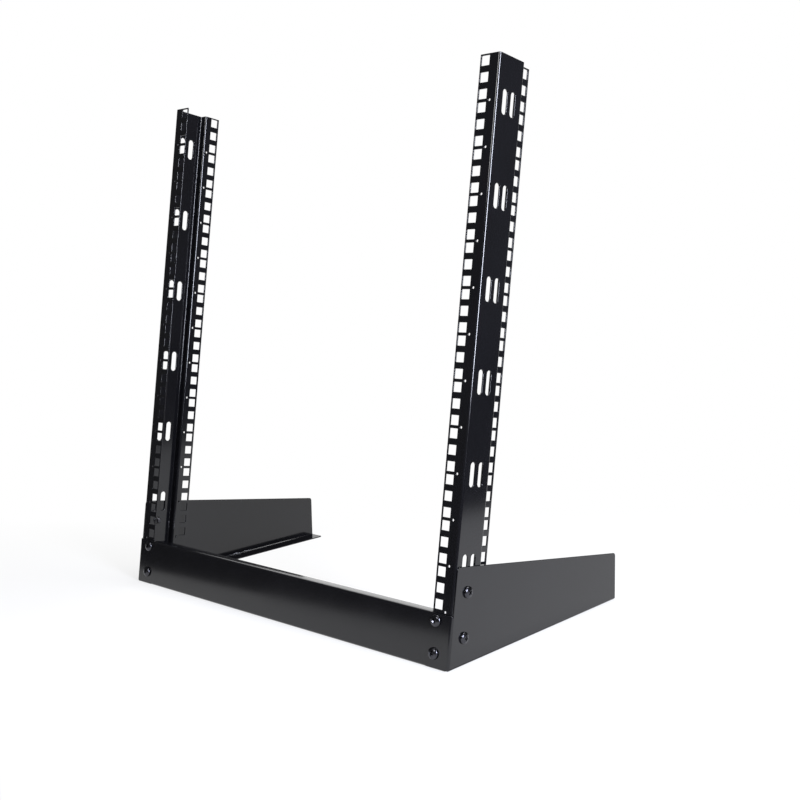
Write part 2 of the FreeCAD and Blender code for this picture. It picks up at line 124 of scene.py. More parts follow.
class UprightSettings(bpy.types.PropertyGroup):
    """Sizes of the folded and punched uprights."""
    units: IntProperty(name="Units", description="Height in rack units", default=12, min=2)
    unit_pitch: length("Unit pitch", "Height of one rack unit", 44.45)
    column: length("Hole column", "From the middle of the rack to a hole column", 232.56)
    web: length("Web", "From the middle of the rack to the outer face of a web", 250)
    flange: length("Front flange", "Width of the front flange", 23.7)
    web_depth: length("Web depth", "From the front face to the rear face of the jog", 39.7)
    jog: length("Jog", "How far the rear flange stands inside the web", 8.9)
    depth: length("Depth", "From the front face to the rear edge", 59.5)
    sheet: length("Sheet", "Thickness of the steel", 1.5)
    bend: length("Bend", "Inside radius of the bends", 1)
    hole: length("Square hole", "Side of a square hole", 9.5)
    hole_corner: length("Hole corner", "Radius in the corners of a square hole", 0.4)
    first_hole: length("First hole", "Height of the first hole in its unit", 6.35)
    hole_step: length("Hole step", "Between the holes of a unit", 15.875)
    rear_inset: length("Rear inset", "From the rear edge to the rear hole column", 7)
    index_hole: length("Index hole", "Diameter of the round hole between units", 2.4)
    index_offset: length("Index offset", "From a hole column to its index holes", 8.6)
    slot_length: length("Slot length", "Height of a slot in the web", 24)
    slot_width: length("Slot width", "Width of a slot in the web", 7)
    slot_spacing: length("Slot spacing", "Between the two slots of a pair", 12.7)
    slot_line: length("Slot line", "From the front face to the middle of a slot pair", 19.3)
    collar: length("Collar", "Diameter of the drawn collars that carry a thread", 9)
    collar_height: length("Collar height", "How far a collar stands inside the sheet", 2)
    thread_bore: length("Thread bore", "Diameter of the hole through a collar", 6)
    foot_gap: length("Foot gap", "From the floor to the cut foot of an upright", 2)
    rim: length("Rim", "Rounding that the coat leaves on punched and cut rims", 0.5)
    lean: angle("Lean", "How far the uprights lean back", 9)


class FootSettings(bpy.types.PropertyGroup):
    """Sizes of the beam and of the two side plates."""
    drop: length("Drop", "From the first unit down to the beam's lower edge", 56)
    depth: length("Depth", "Length of a side plate on the floor", 302)
    lip_setback: length("Lip setback", "From an upright's flange to the end of the beam's lips", 2.4)
    bend: length("Bend", "Outside radius of the bends", 2.5)
    rim: length("Rim", "Rounding that the coat leaves on cut rims", 0.5)


class ScrewSettings(bpy.types.PropertyGroup):
    """Sizes of the pan-head screws and where they stand."""
    head: length("Head", "Diameter of the head", 12)
    head_height: length("Head height", "Height of the head", 3.6)
    dome: length("Dome", "How far the head's dome rises above its straight rim", 2.7)
    flat: length("Flat", "Diameter of the flat top of the dome", 2)
    thread: length("Thread", "Outside diameter of the thread", 5.8)
    thread_depth: length("Thread depth", "From the crest of the thread to its root", 0.6)
    thread_pitch: length("Thread pitch", "Rise of the thread in one turn", 1)
    reach: length("Reach", "Length below the head", 8)
    recess: length("Recess", "Width across the cross recess", 5.6)
    recess_arm: length("Recess arm", "Width of an arm of the recess", 1.5)
    recess_depth: length("Recess depth", "Depth of the recess", 2)
    beam_drop: length("Beam screws", "From the first unit down to the upper beam screws", 9.5)
    beam_spacing: length("Beam spacing", "Between the two screws at an end of the beam", 31.75)
    side_rise: length("Side screws", "From the first unit up to the upper side screws", 20)
    side_spacing: length("Side spacing", "Between the two screws of a side plate", 44.45)


class FinishSettings(bpy.types.PropertyGroup):
    """Colours of the coat and of the screws."""
    coat_dark: colour("Coat, dark", "Powder coat where the film is thick", "#0a0a0c")
    coat_pale: colour("Coat, pale", "Powder coat where the film is thin", "#101013")
    zinc_dark: colour("Zinc, dark", "Black zinc where the film is thick", "#38383b")
    zinc_pale: colour("Zinc, pale", "Black zinc where the film is thin", "#525257")


class StageSettings(bpy.types.PropertyGroup):
    """Camera, floor and lamps."""
    focal_length: FloatProperty(name="Focal length", description="Of the camera, in millimetres",
                                default=50.17, min=1)
    camera_place: FloatVectorProperty(name="Camera", description="Where the camera stands",
                                      default=(0.9026, -0.9315, 0.3862), subtype="TRANSLATION")
    camera_turn: FloatVectorProperty(name="Camera turn", description="How the camera is turned",
                                     default=[math.radians(turn) for turn in (81.912, 1.293, 42.824)],
                                     subtype="EULER")
    camera_shift: FloatVectorProperty(name="Camera shift", description="In image widths",
                                      default=(0.0229, 0.0283), size=2)
    paper: colour("Paper", "White paper under and behind the rack", "#ffffff")
    matt: colour("Matt paper", "What the paper gives back of the lamps", "#e2e2e2")
    # The studio grey is painted shade: it stands in for floor that the lamps leave unlit, as the coat
    # reflects it.
    studio: colour("Studio", "Studio floor beside the paper", "#48484a")
    room: colour("Room", "Grey of the room round the stage", "#58585a")
    cool: colour("Cool light", "Colour of the key lamp", "#e9eeff")
    key_power: FloatProperty(name="Key lamp", description="Power of the tall soft box at the right",
                             default=36, unit="POWER")
    front_power: FloatProperty(name="Front lamp", description="Power of the soft box up in front",
                               default=9, unit="POWER")
    top_power: FloatProperty(name="Top lamp", description="Power of the soft box overhead",
                             default=34, unit="POWER")


# Shapes


def new_piece(name, mesh, slot, *nodes):
    """Object for a finished mesh. It rides on the rack and stands for the CAD nodes it replaces."""
    piece = bpy.data.objects.new(name, mesh)
    bpy.context.scene.collection.objects.link(piece)
    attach(piece, "root")
    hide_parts(*nodes)
    return piece


def lean_matrix(scene):
    """From the post frame to the floor frame."""
    upright, foot = scene.rack_uprights, scene.rack_feet
    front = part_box("right_side_plate")[1].y - foot.depth
    y, z = upright.sheet, foot.drop
    cosine, sine = math.cos(upright.lean), math.sin(upright.lean)
    place = Vector((0, front + y * cosine + z * sine, z * cosine - y * sine))
    return Matrix.Translation(place) @ Matrix.Rotation(-upright.lean, 4, "X")


def rounded(corners, steps=8):
    """Outline through corners given as (x, y, radius), with each corner turned into an arc."""
    points = []
    for index, (x, y, radius) in enumerate(corners):
        corner = Vector((x, y))
        if radius == 0:
            points.append(corner)
            continue
        before = (Vector(corners[index - 1][:2]) - corner).normalized()
        after = (Vector(corners[(index + 1) % len(corners)][:2]) - corner).normalized()
        half = before.angle(after) / 2
        centre = corner + (before + after).normalized() * radius / math.sin(half)
        start = corner + before * radius / math.tan(half) - centre
        end = corner + after * radius / math.tan(half) - centre
        turn = start.angle_signed(end)
        for step in range(steps + 1):
            points.append(centre + Matrix.Rotation(-turn * step / steps, 2) @ start)
    return points


def mesh_from(shape, name):
    """Mesh of a bmesh whose faces are turned to point outwards."""
    bmesh.ops.recalc_face_normals(shape, faces=shape.faces)
    mesh = bpy.data.meshes.new(name)
    shape.to_mesh(mesh)
    shape.free()
    return mesh


def soften(piece, width, limit="ANGLE"):
    """Round the cut rims of a piece and keep its flats flat."""
    piece.data.shade_smooth()
    bevel = piece.modifiers.new("rims", "BEVEL")
    bevel.width = width
    bevel.segments = 3
    bevel.limit_method = limit
    bevel.angle_limit = SHARP
    bevel.use_clamp_overlap = False
    flats = piece.modifiers.new("flats", "WEIGHTED_NORMAL")
    flats.keep_sharp = True


def baked_mesh(piece, name):
    """Plain mesh of what a piece's modifiers make. The piece itself goes."""
    seen = piece.evaluated_get(bpy.context.evaluated_depsgraph_get())
    mesh = bpy.data.meshes.new_from_object(seen)
    mesh.name = name
    bpy.data.objects.remove(piece)
    return mesh


# Node trees


def add_node(tree, kind, inputs=None, **settings):
    """Add a node with its settings. An input takes a value, or the outputs to link to it."""
    node = tree.nodes.new(kind)
    for name, setting in settings.items():
        setattr(node, name, setting)
    for name, source in (inputs or {}).items():
        if isinstance(source, bpy.types.NodeSocket):
            tree.links.new(source, node.inputs[name])
        elif isinstance(source, list) and isinstance(source[0], bpy.types.NodeSocket):
            for output in source:
                tree.links.new(output, node.inputs[name])
        else:
            node.inputs[name].default_value = source
    return node


def new_tree(name, sizes, counts=()):
    """Geometry Nodes tree with named inputs, and the outputs that give their values."""
    tree = bpy.data.node_groups.new(name, "GeometryNodeTree")
    kinds = {"Geometry": "NodeSocketGeometry"}
    kinds.update({size: "NodeSocketFloat" for size in sizes})
    kinds.update({count: "NodeSocketInt" for count in counts})
    for socket, kind in kinds.items():
        tree.interface.new_socket(socket, in_out="INPUT", socket_type=kind)
    tree.interface.new_socket("Geometry", in_out="OUTPUT", socket_type="NodeSocketGeometry")
    return tree, tree.nodes.new("NodeGroupInput").outputs


def close_tree(tree, geometry, material=None):
    """Realise what the tree made, give it its material, and put it out."""
    if material:
        plain = add_node(tree, "GeometryNodeRealizeInstances", {"Geometry": geometry})
        geometry = add_node(tree, "GeometryNodeSetMaterial",
                            {"Geometry": plain.outputs[0], "Material": material}).outputs[0]
    add_node(tree, "NodeGroupOutput", {0: geometry})


def vector(tree, x=0.0, y=0.0, z=0.0):
    return add_node(tree, "ShaderNodeCombineXYZ", {"X": x, "Y": y, "Z": z}).outputs[0]


def maths(tree, operation, first, second=0.0):
    return add_node(tree, "ShaderNodeMath", {0: first, 1: second}, operation=operation).outputs[0]


def moved(tree, geometry, place, turn=(0.0, 0.0, 0.0)):
    return add_node(tree, "GeometryNodeTransform", {
        "Geometry": geometry, "Translation": place, "Rotation": turn}).outputs[0]


def joined(tree, *parts):
    return add_node(tree, "GeometryNodeJoinGeometry", {"Geometry": list(parts)}).outputs[0]


def repeated(tree, shape, count, start, step, spin=(0.0, 0.0, 0.0)):
    """Instances of a shape along a line."""
    line = add_node(tree, "GeometryNodeMeshLine",
                    {"Count": count, "Start Location": start, "Offset": step}, mode="OFFSET")
    return add_node(tree, "GeometryNodeInstanceOnPoints", {
        "Points": line.outputs[0], "Instance": shape, "Rotation": spin}).outputs[0]


def set_inputs(modifier, values):
    """Give a modifier's inputs their values, by the identifiers of the sockets with these names."""
    for item in modifier.node_group.interface.items_tree:
        if item.in_out == "INPUT" and item.name in values:
            modifier[item.identifier] = values[item.name]


# Finishes


def new_material(name):
    """Empty material, its tree, and its object coordinates."""
    material = bpy.data.materials.new(name)
    material.use_nodes = True
    tree = material.node_tree
    tree.nodes.clear()
    where = add_node(tree, "ShaderNodeTexCoord").outputs["Object"]
    return material, tree, where


def powder_coat():
    """Sheet steel under black polyester powder coat, sprayed and baked.

    The powder flows as it bakes and sets with a fine orange peel, so the sheen is satin and breaks
    up a little. The colour is nearly even.
    """
    made = bpy.data.materials.get("powder_coated_steel")
    if made:
        return made
    colours = bpy.context.scene.rack_finishes
    material, tree, where = new_material("powder_coated_steel")
    # The peel is 1 to 2 mm across
    peel = add_node(tree, "ShaderNodeTexNoise", {
        "Vector": where, "Scale": 1 / PEEL_SIZE, "Detail": 2.0, "Roughness": 0.5})
    # The film's thickness drifts over about 60 mm, which shows as a faint change of sheen
    drift = add_node(tree, "ShaderNodeTexNoise", {
        "Vector": where, "Scale": 1 / DRIFT_SIZE, "Detail": 2.0})
    tone = add_node(tree, "ShaderNodeMix", {
        "Factor": drift.outputs["Fac"], "A": [*colours.coat_dark, 1],
        "B": [*colours.coat_pale, 1]}, data_type="RGBA")
    gloss = add_node(tree, "ShaderNodeMapRange", {
        "Value": drift.outputs["Fac"], "From Min": 0.3, "From Max": 0.7,
        "To Min": COAT_ROUGHNESS[0], "To Max": COAT_ROUGHNESS[1]})
    bump = add_node(tree, "ShaderNodeBump", {
        "Height": peel.outputs["Fac"], "Strength": 0.1, "Distance": 0.05 * MM})
    shader = add_node(tree, "ShaderNodeBsdfPrincipled", {
        "Base Color": tone.outputs["Result"], "Roughness": gloss.outputs["Result"], "IOR": 1.5,
        "Normal": bump.outputs["Normal"]})
    add_node(tree, "ShaderNodeOutputMaterial", {"Surface": shader.outputs[0]})
    return material


def black_zinc():
    """Steel screw, zinc plated and passivated black, which leaves a dark metal sheen."""
    made = bpy.data.materials.get("black_zinc_steel")
    if made:
        return made
    colours = bpy.context.scene.rack_finishes
    material, tree, where = new_material("black_zinc_steel")
    # The passivated film is blotchy at about 2 mm
    film = add_node(tree, "ShaderNodeTexNoise", {
        "Vector": where, "Scale": 1 / FILM_SIZE, "Detail": 2.0})
    tone = add_node(tree, "ShaderNodeMix", {
        "Factor": film.outputs["Fac"], "A": [*colours.zinc_dark, 1],
        "B": [*colours.zinc_pale, 1]}, data_type="RGBA")
    gloss = add_node(tree, "ShaderNodeMapRange", {
        "Value": film.outputs["Fac"], "From Min": 0.3, "From Max": 0.7,
        "To Min": ZINC_ROUGHNESS[0], "To Max": ZINC_ROUGHNESS[1]})
    shader = add_node(tree, "ShaderNodeBsdfPrincipled", {
        "Base Color": tone.outputs["Result"], "Roughness": gloss.outputs["Result"],
        "Metallic": 1.0})
    add_node(tree, "ShaderNodeOutputMaterial", {"Surface": shader.outputs[0]})
    return material


# Uprights


def punch_tree():
    """A punch: a closed prism along Y whose section in X and Z is a rectangle with round corners."""
    tree, given = new_tree("Punch", ("Width", "Height", "Corner", "Depth"), ("Corner Steps",))
    section = add_node(tree, "GeometryNodeCurvePrimitiveQuadrilateral", {
        "Width": given["Width"], "Height": given["Height"]})
    corners = add_node(tree, "GeometryNodeFilletCurve", {
        "Curve": section.outputs[0], "Radius": given["Corner"], "Count": given["Corner Steps"],
        "Limit Radius": True}, mode="POLY")
    face = add_node(tree, "GeometryNodeFillCurve", {"Curve": corners.outputs[0]}, mode="NGONS")
    drawn = add_node(tree, "GeometryNodeExtrudeMesh", {
        "Mesh": face.outputs[0], "Offset Scale": given["Depth"], "Individual": False}, mode="FACES")
    back = add_node(tree, "GeometryNodeFlipFaces", {"Mesh": face.outputs[0]})
    closed = add_node(tree, "GeometryNodeMergeByDistance", {
        "Geometry": joined(tree, drawn.outputs[0], back.outputs[0]), "Distance": WELD})
    half = maths(tree, "MULTIPLY", given["Depth"], 0.5)
    close_tree(tree, moved(tree, closed.outputs[0], vector(tree, y=half), (QUARTER, 0.0, 0.0)))
    return tree


def punched_upright_tree(material):
    """Draws the collars of the right upright, then punches its columns, slots and bores."""
    sizes = ("Unit Pitch", "Hole", "Hole Corner", "First Hole", "Hole Step", "Index Hole",
             "Index Offset", "Column", "Rear Column", "Web", "Jog Face", "Slot Length", "Slot Width",
             "Slot Spacing", "Slot Line", "Beam Screw", "Beam Screw Step", "Side Screw",
             "Side Screw Step", "Collar", "Collar Height", "Bore", "Sheet")
    tree, given = new_tree("Punched upright", sizes, ("Units",))
    punch = punch_tree()

    def half(source):
        return maths(tree, "MULTIPLY", source, 0.5)

    def prism(width, height, corner, depth, steps):
        node = tree.nodes.new("GeometryNodeGroup")
        node.node_tree = punch
        for name, source in (("Width", width), ("Height", height), ("Corner", corner),
                             ("Depth", depth)):
            tree.links.new(source, node.inputs[name])
        node.inputs["Corner Steps"].default_value = steps
        return node.outputs[0]

    def at_screws(shape):
        """A shape at the beam's and at the side plate's screws."""
        beam_row = repeated(tree, shape, 2, vector(tree, z=given["Beam Screw"]),
                            vector(tree, z=given["Beam Screw Step"]))
        side_row = repeated(tree, shape, 2, vector(tree, z=given["Side Screw"]),
                            vector(tree, z=given["Side Screw Step"]))
        to_web = vector(tree, x=given["Web"], y=given["Slot Line"])
        return joined(tree, moved(tree, beam_row, vector(tree, x=given["Column"])),
                      moved(tree, side_row, to_web, (0.0, 0.0, QUARTER)))

    through = maths(tree, "MULTIPLY", given["Sheet"], 8.0)
    square = prism(given["Hole"], given["Hole"], given["Hole Corner"], through, 3)
    index = prism(given["Index Hole"], given["Index Hole"], half(given["Index Hole"]), through, 4)
    slot = prism(given["Slot Width"], given["Slot Length"], half(given["Slot Width"]), through, 8)
    bore = prism(given["Bore"], given["Bore"], half(given["Bore"]), through, 8)
    collar_depth = maths(tree, "ADD", given["Collar Height"], half(given["Sheet"]))
    collar = prism(given["Collar"], given["Collar"], half(given["Collar"]), collar_depth, 8)

    three = repeated(tree, square, 3, vector(tree, z=given["First Hole"]),
                     vector(tree, z=given["Hole Step"]))
    unit = joined(tree, three, moved(tree, index, vector(tree, x=given["Index Offset"])))
    step = vector(tree, z=given["Unit Pitch"])
    column = repeated(tree, unit, given["Units"], (0.0, 0.0, 0.0), step)
    front = moved(tree, column, vector(tree, x=given["Column"]))
    rear = moved(tree, column, vector(tree, x=given["Jog Face"], y=given["Rear Column"]),
                 (0.0, 0.0, -QUARTER))

    offset = half(given["Slot Spacing"])
    pair = joined(tree, moved(tree, slot, vector(tree, x=offset)),
                  moved(tree, slot, vector(tree, x=maths(tree, "MULTIPLY", offset, -1.0))))
    pairs = repeated(tree, pair, half(given["Units"]), step,
                     vector(tree, z=maths(tree, "MULTIPLY", given["Unit Pitch"], 2.0)))
    slots = moved(tree, pairs, vector(tree, x=given["Web"], y=given["Slot Line"]),
                  (0.0, 0.0, QUARTER))

    # The collars start halfway into the sheet, so that they join it
    inwards = maths(tree, "MULTIPLY", maths(tree, "ADD", given["Sheet"], collar_depth), 0.5)
    collars = at_screws(moved(tree, collar, vector(tree, y=inwards)))
    drawn = add_node(tree, "GeometryNodeMeshBoolean", {
        "Mesh": [given["Geometry"], add_node(tree, "GeometryNodeRealizeInstances", {
            "Geometry": collars}).outputs[0]]}, operation="UNION", solver="EXACT")
    punches = add_node(tree, "GeometryNodeRealizeInstances", {
        "Geometry": joined(tree, front, rear, slots, at_screws(bore))})
    cut = add_node(tree, "GeometryNodeMeshBoolean", {
        "Mesh 1": drawn.outputs[0], "Mesh 2": punches.outputs[0]},
        operation="DIFFERENCE", solver="EXACT")
    close_tree(tree, cut.outputs[0], material)
    return tree


def upright_blank(upright, foot):
    """Folded blank of the right upright in the post frame, with its foot cut along the floor."""
    thick, inner = upright.sheet, upright.bend
    outer = inner + thick
    web, jog = upright.web, upright.web - upright.jog
    edge = upright.web - upright.flange
    outline = rounded([
        (edge, 0, 0), (web, 0, outer), (web, upright.web_depth, outer),
        (jog, upright.web_depth, inner), (jog, upright.depth, 0), (jog - thick, upright.depth, 0),
        (jog - thick, upright.web_depth - thick, outer),
        (web - thick, upright.web_depth - thick, inner), (web - thick, thick, inner),
        (edge, thick, 0)])
    low = -foot.drop - upright.depth / 2
    high = upright.units * upright.unit_pitch
    shape = bmesh.new()
    section = shape.faces.new([shape.verts.new((x, y, low)) for x, y in outline])
    grown = bmesh.ops.extrude_face_region(shape, geom=[section], use_keep_orig=True)
    raised = [item for item in grown["geom"] if isinstance(item, bmesh.types.BMVert)]
    bmesh.ops.translate(shape, verts=raised, vec=(0, 0, high - low))
    up = Vector((0, -math.sin(upright.lean), math.cos(upright.lean)))
    cut = bmesh.ops.bisect_plane(shape, geom=shape.verts[:] + shape.edges[:] + shape.faces[:],
                                 plane_co=Vector((0, -thick, -foot.drop)) + up * upright.foot_gap,
                                 plane_no=up, clear_inner=True)
    rim = [item for item in cut["geom_cut"] if isinstance(item, bmesh.types.BMEdge)]
    bmesh.ops.edgeloop_fill(shape, edges=rim)
    return mesh_from(shape, "upright_blank")


class RACK_OT_uprights(bpy.types.Operator):
    """Fold and punch the two uprights"""
    bl_idname = "rack.make_uprights"
    bl_label = "Uprights"

    def execute(self, context):
        scene = context.scene
        upright, screw = scene.rack_uprights, scene.rack_screws
        blank = bpy.data.objects.new("blank", upright_blank(upright, scene.rack_feet))
        scene.collection.objects.link(blank)
        punching = blank.modifiers.new("punching", "NODES")
        punching.node_group = punched_upright_tree(powder_coat())
        set_inputs(punching, {
            "Units": upright.units, "Unit Pitch": upright.unit_pitch, "Hole": upright.hole,
            "Hole Corner": upright.hole_corner, "First Hole": upright.first_hole,
            "Hole Step": upright.hole_step, "Index Hole": upright.index_hole,
            "Index Offset": upright.index_offset, "Column": upright.column,
            "Rear Column": upright.depth - upright.rear_inset, "Web": upright.web,
            "Jog Face": upright.web - upright.jog, "Slot Length": upright.slot_length,
            "Slot Width": upright.slot_width, "Slot Spacing": upright.slot_spacing,
            "Slot Line": upright.slot_line, "Beam Screw": -screw.beam_drop,
            "Beam Screw Step": -screw.beam_spacing, "Side Screw": screw.side_rise,
            "Side Screw Step": -screw.side_spacing, "Collar": upright.collar,
            "Collar Height": upright.collar_height, "Bore": upright.thread_bore,
            "Sheet": upright.sheet})
        right = baked_mesh(blank, "right_upright")
        right.transform(lean_matrix(scene))
        left = right.copy()
        left.name = "left_upright"
        left.transform(Matrix.Scale(-1, 4, (1, 0, 0)))
        left.flip_normals()
        for mesh, node in ((right, "right_post"), (left, "left_post")):
            soften(new_piece(mesh.name, mesh, COAT_SLOT, node), upright.rim)
        return {"FINISHED"}


# Beam and side plates


def softened_node(node, name, width, runs_out):
    """Coated piece with a CAD node's shape, its rims rounded as the coat rounds them.

    A corner for which runs_out holds stays sharp, because a bend there runs out on a flat.
    """
    shape = bmesh.new()
    shape.from_mesh(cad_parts[node].data)
    bmesh.ops.remove_doubles(shape, verts=shape.verts, dist=WELD)
    bmesh.ops.dissolve_limit(shape, angle_limit=FLAT, verts=shape.verts, edges=shape.edges)
    rims = shape.edges.layers.float.new("bevel_weight_edge")
    for edge in shape.edges:
        sharp = edge.calc_face_angle() > SHARP
        edge[rims] = float(sharp and not all(runs_out(corner.co) for corner in edge.verts))
    mesh = mesh_from(shape, name)
    mesh.materials.clear()
    mesh.materials.append(powder_coat())
    soften(new_piece(name, mesh, COAT_SLOT, node), width, "WEIGHT")


class RACK_OT_front_beam(bpy.types.Operator):
    """Make the folded front beam"""
    bl_idname = "rack.make_front_beam"
    bl_label = "Front beam"

    def execute(self, context):
        upright, foot = context.scene.rack_uprights, context.scene.rack_feet
        lip_end = upright.web - upright.flange - foot.lip_setback
        softened_node("front_beam", "folded_front_beam", foot.rim,
                      lambda corner: abs(abs(corner.x) - lip_end) < LIP_REACH)
        return {"FINISHED"}


class RACK_OT_side_plates(bpy.types.Operator):
    """Make the two tapered side plates"""
    bl_idname = "rack.make_side_plates"
    bl_label = "Side plates"

    def execute(self, context):
        foot = context.scene.rack_feet
        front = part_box("right_side_plate")[0].y

        def in_front_bend(corner):
            return corner.z < foot.bend + BEND_REACH and corner.y < front + foot.bend

        softened_node("right_side_plate", "right_tapered_plate", foot.rim, in_front_bend)
        softened_node("left_side_plate", "left_tapered_plate", foot.rim, in_front_bend)
        return {"FINISHED"}


# Screws


def screw_blank(screw):
    """One screw about Y: its head in front of Y = 0 and its thread behind."""
    steps, rows_per_pitch, arc_steps = 32, 6, 10
    crest = screw.thread / 2
    root = crest - screw.thread_depth
    wide, flat = screw.head / 2, screw.flat / 2
    edge = screw.head_height - screw.dome
    chamfer = edge / 3
    row = screw.thread_pitch / rows_per_pitch
    rows = round(screw.reach / row)
    shape = bmesh.new()

    def ring(y, radius_at):
        points = []
        for step in range(steps):
            turn = step / steps
            reach = radius_at(turn)
            spot = (reach * math.cos(2 * math.pi * turn), y, reach * math.sin(2 * math.pi * turn))
            points.append(shape.verts.new(spot))
        return points

    def thread_radius(y, turn):
        phase = (y / screw.thread_pitch - turn) % 1
        ridge = 1 - abs(2 * phase - 1)
        return min(root + screw.thread_depth * ridge, root + screw.reach - y)

    rings = [ring(number * row, lambda turn, y=number * row: thread_radius(y, turn))
             for number in range(rows, -1, -1)]
    rings.append(ring(0, lambda turn: wide - chamfer))
    rings.append(ring(-chamfer, lambda turn: wide))
    for step in range(arc_steps + 1):
        bend = QUARTER * step / arc_steps
        rings.append(ring(-edge - screw.dome * math.sin(bend),
                          lambda turn, bend=bend: flat + (wide - flat) * math.cos(bend)))
    shape.faces.new(rings[0])
    shape.faces.new(rings[-1])
    for here, there in zip(rings, rings[1:]):
        for step in range(steps):
            after = (step + 1) % steps
            shape.faces.new((here[step], here[after], there[after], there[step]))
    return mesh_from(shape, "screw_blank")


def recess_punch(screw):
    """Cross-shaped punch that narrows towards its point, standing in the screw's head."""
    above, narrowed = 1.1, 0.45
    outlines = []
    shape = bmesh.new()
    top = -screw.head_height * above
    for y, share in ((top, 1.0), (-screw.head_height + screw.recess_depth, narrowed)):
        arm, half = screw.recess / 2 * share, screw.recess_arm / 2 * (0.5 + share / 2)
        quarter = [Vector((arm, y, -half)), Vector((arm, y, half)), Vector((half, y, half))]
        points = []
        for turn in range(4):
            points += [Matrix.Rotation(-QUARTER * turn, 3, "Y") @ point for point in quarter]
        outlines.append([shape.verts.new(point) for point in points])
    high, low = outlines
    shape.faces.new(high)
    shape.faces.new(low)
    for index in range(len(high)):
        after = (index + 1) % len(high)
        shape.faces.new((high[index], high[after], low[after], low[index]))
    return mesh_from(shape, "recess_punch")


def screw_rows_tree(material):
    """Two screws at the right and two at the left, each turned by chance about its own axis."""
    tree, given = new_tree("Screw rows", ("Across", "Back", "Upper", "Step", "Turn"), ("Seed",))
    rows = []
    for side in (1.0, -1.0):
        spin = add_node(tree, "FunctionNodeRandomValue", {
            "Max": QUARTER, "Seed": maths(tree, "ADD", given["Seed"], side)}, data_type="FLOAT")
        row = repeated(tree, given["Geometry"], 2, vector(tree, z=given["Upper"]),
                       vector(tree, z=given["Step"]), vector(tree, y=spin.outputs["Value"]))
        place = vector(tree, x=maths(tree, "MULTIPLY", given["Across"], side), y=given["Back"])
        turn = vector(tree, z=maths(tree, "MULTIPLY", given["Turn"], side))
        rows.append(moved(tree, row, place, turn))
    close_tree(tree, joined(tree, *rows), material)
    return tree


class RACK_OT_screws(bpy.types.Operator):
    """Make the screws of the beam and of the side plates"""
    bl_idname = "rack.make_screws"
    bl_label = "Screws"

    def execute(self, context):
        scene = context.scene
        upright, screw = scene.rack_uprights, scene.rack_screws
        tree = screw_rows_tree(black_zinc())
        punch = bpy.data.objects.new("recess_punch", recess_punch(screw))
        scene.collection.objects.link(punch)
        rows = {
            "beam": {"Across": upright.column, "Back": -upright.sheet, "Upper": -screw.beam_drop,
                     "Step": -screw.beam_spacing, "Turn": 0.0, "Seed": 3},
            "side": {"Across": upright.web + upright.sheet, "Back": upright.slot_line,
                     "Upper": screw.side_rise, "Step": -screw.side_spacing, "Turn": QUARTER,
                     "Seed": 8}}
        for place, sizes in rows.items():
            blank = bpy.data.objects.new("screw", screw_blank(screw))
            scene.collection.objects.link(blank)
            recess = blank.modifiers.new("recess", "BOOLEAN")
            recess.object = punch
            recess.operation = "DIFFERENCE"
            spread = blank.modifiers.new("rows", "NODES")
            spread.node_group = tree
            set_inputs(spread, sizes)
            mesh = baked_mesh(blank, f"{place}_screws")
            mesh.transform(lean_matrix(scene))
            mesh.shade_smooth()
            mesh.set_sharp_from_angle(angle=CREASE)
            nodes = [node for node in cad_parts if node.startswith(f"{place}_screw_")]
            new_piece(mesh.name, mesh, SCREW_SLOT, *nodes)
        bpy.data.objects.remove(punch)
        return {"FINISHED"}


# Stage


def area_light(name, place, aim, width, height, power, tint=(1, 1, 1)):
    """Soft box that faces a point. The camera doesn't see it."""
    lamp = bpy.data.lights.new(name, "AREA")
    lamp.shape = "RECTANGLE"
    lamp.size, lamp.size_y = width, height
    lamp.energy = power
    lamp.color = tint
    box = bpy.data.objects.new(name, lamp)
    box.location = place
    box.rotation_euler = (Vector(aim) - Vector(place)).to_track_quat("-Z", "Y").to_euler()
    box.visible_camera = False
    bpy.context.scene.collection.objects.link(box)


def background_rays(tree):
    """1 where the camera, a reflection or glass looks, and 0 for the light on the object."""
    rays = add_node(tree, "ShaderNodeLightPath").outputs
    seen = maths(tree, "MAXIMUM", rays["Is Camera Ray"], rays["Is Glossy Ray"])
    return maths(tree, "MAXIMUM", seen, rays["Is Transmission Ray"])


